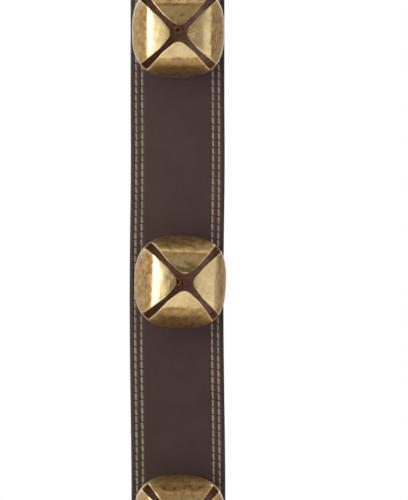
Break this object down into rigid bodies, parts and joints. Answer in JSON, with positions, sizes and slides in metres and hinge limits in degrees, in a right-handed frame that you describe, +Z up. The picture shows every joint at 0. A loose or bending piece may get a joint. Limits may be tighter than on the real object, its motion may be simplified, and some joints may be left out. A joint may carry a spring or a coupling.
{
  "type": "sleigh bell door hanger",
  "caption": "Stitched, lined leather strap on a D-ring, carrying hollow brass petal bells with loose clappers on pinned shanks, hung on a door so that it rings when the door moves.",
  "frame": {"origin": "inside top of the D-ring's bow, where a hook or nail bears, in the plane of the ring", "axes": "+Z up along the strap, towards the ring; +Y back, towards the door; +X to the right, seen from the front"},
  "size_m": [0.062, 0.0426, 0.4825],
  "materials": {
    "leather": "dark brown harness leather, satin, burnished edges",
    "thread": "waxed tan thread",
    "brass": "polished brass with brown patina",
    "aged_brass": "aged brass, satin",
    "steel": "plain steel"
  },
  "bodies": {
    "hanger_ring": {"d_ring": "aged_brass"},
    "strap": {"strap_front": "leather", "strap_lining": "leather", "stitching_front_outer": "thread", "stitching_front_inner": "thread", "stitching_back_outer": "thread", "stitching_back_inner": "thread", "fold_rivet_left_post": "aged_brass", "fold_rivet_left_cap": "aged_brass", "fold_rivet_right_post": "aged_brass", "fold_rivet_right_cap": "aged_brass", "bell_top_cotter": "steel", "bell_top_washer": "steel", "bell_middle_cotter": "steel", "bell_middle_washer": "steel", "bell_bottom_cotter": "steel", "bell_bottom_washer": "steel"},
    "bell_top": {"bell_top_shell": "brass", "bell_top_shank": "aged_brass"},
    "bell_middle": {"bell_middle_shell": "brass", "bell_middle_shank": "aged_brass"},
    "bell_bottom": {"bell_bottom_shell": "brass", "bell_bottom_shank": "aged_brass"},
    "clapper_top": {"bell_top_clapper": "steel"},
    "clapper_middle": {"bell_middle_clapper": "steel"},
    "clapper_bottom": {"bell_bottom_clapper": "steel"}
  },
  "joints": [
    {"name": "strap_swing", "type": "hinge", "parent": "hanger_ring", "child": "strap", "pos_m": [0, 0, -0.0335], "axis": [1, 0, 0], "range_deg": [-150, 145]},
    {"name": "bell_top_rock", "type": "hinge", "parent": "strap", "child": "bell_top", "pos_m": [0, 0.00415, -0.1285], "axis": [0, 0, 1], "range_deg": [-11.6, 9.4]},
    {"name": "bell_middle_rock", "type": "hinge", "parent": "strap", "child": "bell_middle", "pos_m": [-0.0012, 0.00415, -0.263], "axis": [0, 0, 1], "range_deg": [-19, 4]},
    {"name": "bell_bottom_rock", "type": "hinge", "parent": "strap", "child": "bell_bottom", "pos_m": [0, 0.00415, -0.3875], "axis": [0, 0, 1], "range_deg": [-12.5, 7.5]},
    {"name": "clapper_top_slide", "type": "slide", "parent": "bell_top", "child": "clapper_top", "axis": [0.0017, -0.0871, 0.9962], "range_m": [0, 0.0346]},
    {"name": "clapper_middle_slide", "type": "slide", "parent": "bell_middle", "child": "clapper_middle", "axis": [0.0357, -0.0041, 0.9994], "range_m": [0, 0.0346]},
    {"name": "clapper_bottom_slide", "type": "slide", "parent": "bell_bottom", "child": "clapper_bottom", "axis": [0.0307, -0.1033, 0.9942], "range_m": [0, 0.0346]}
  ]
}
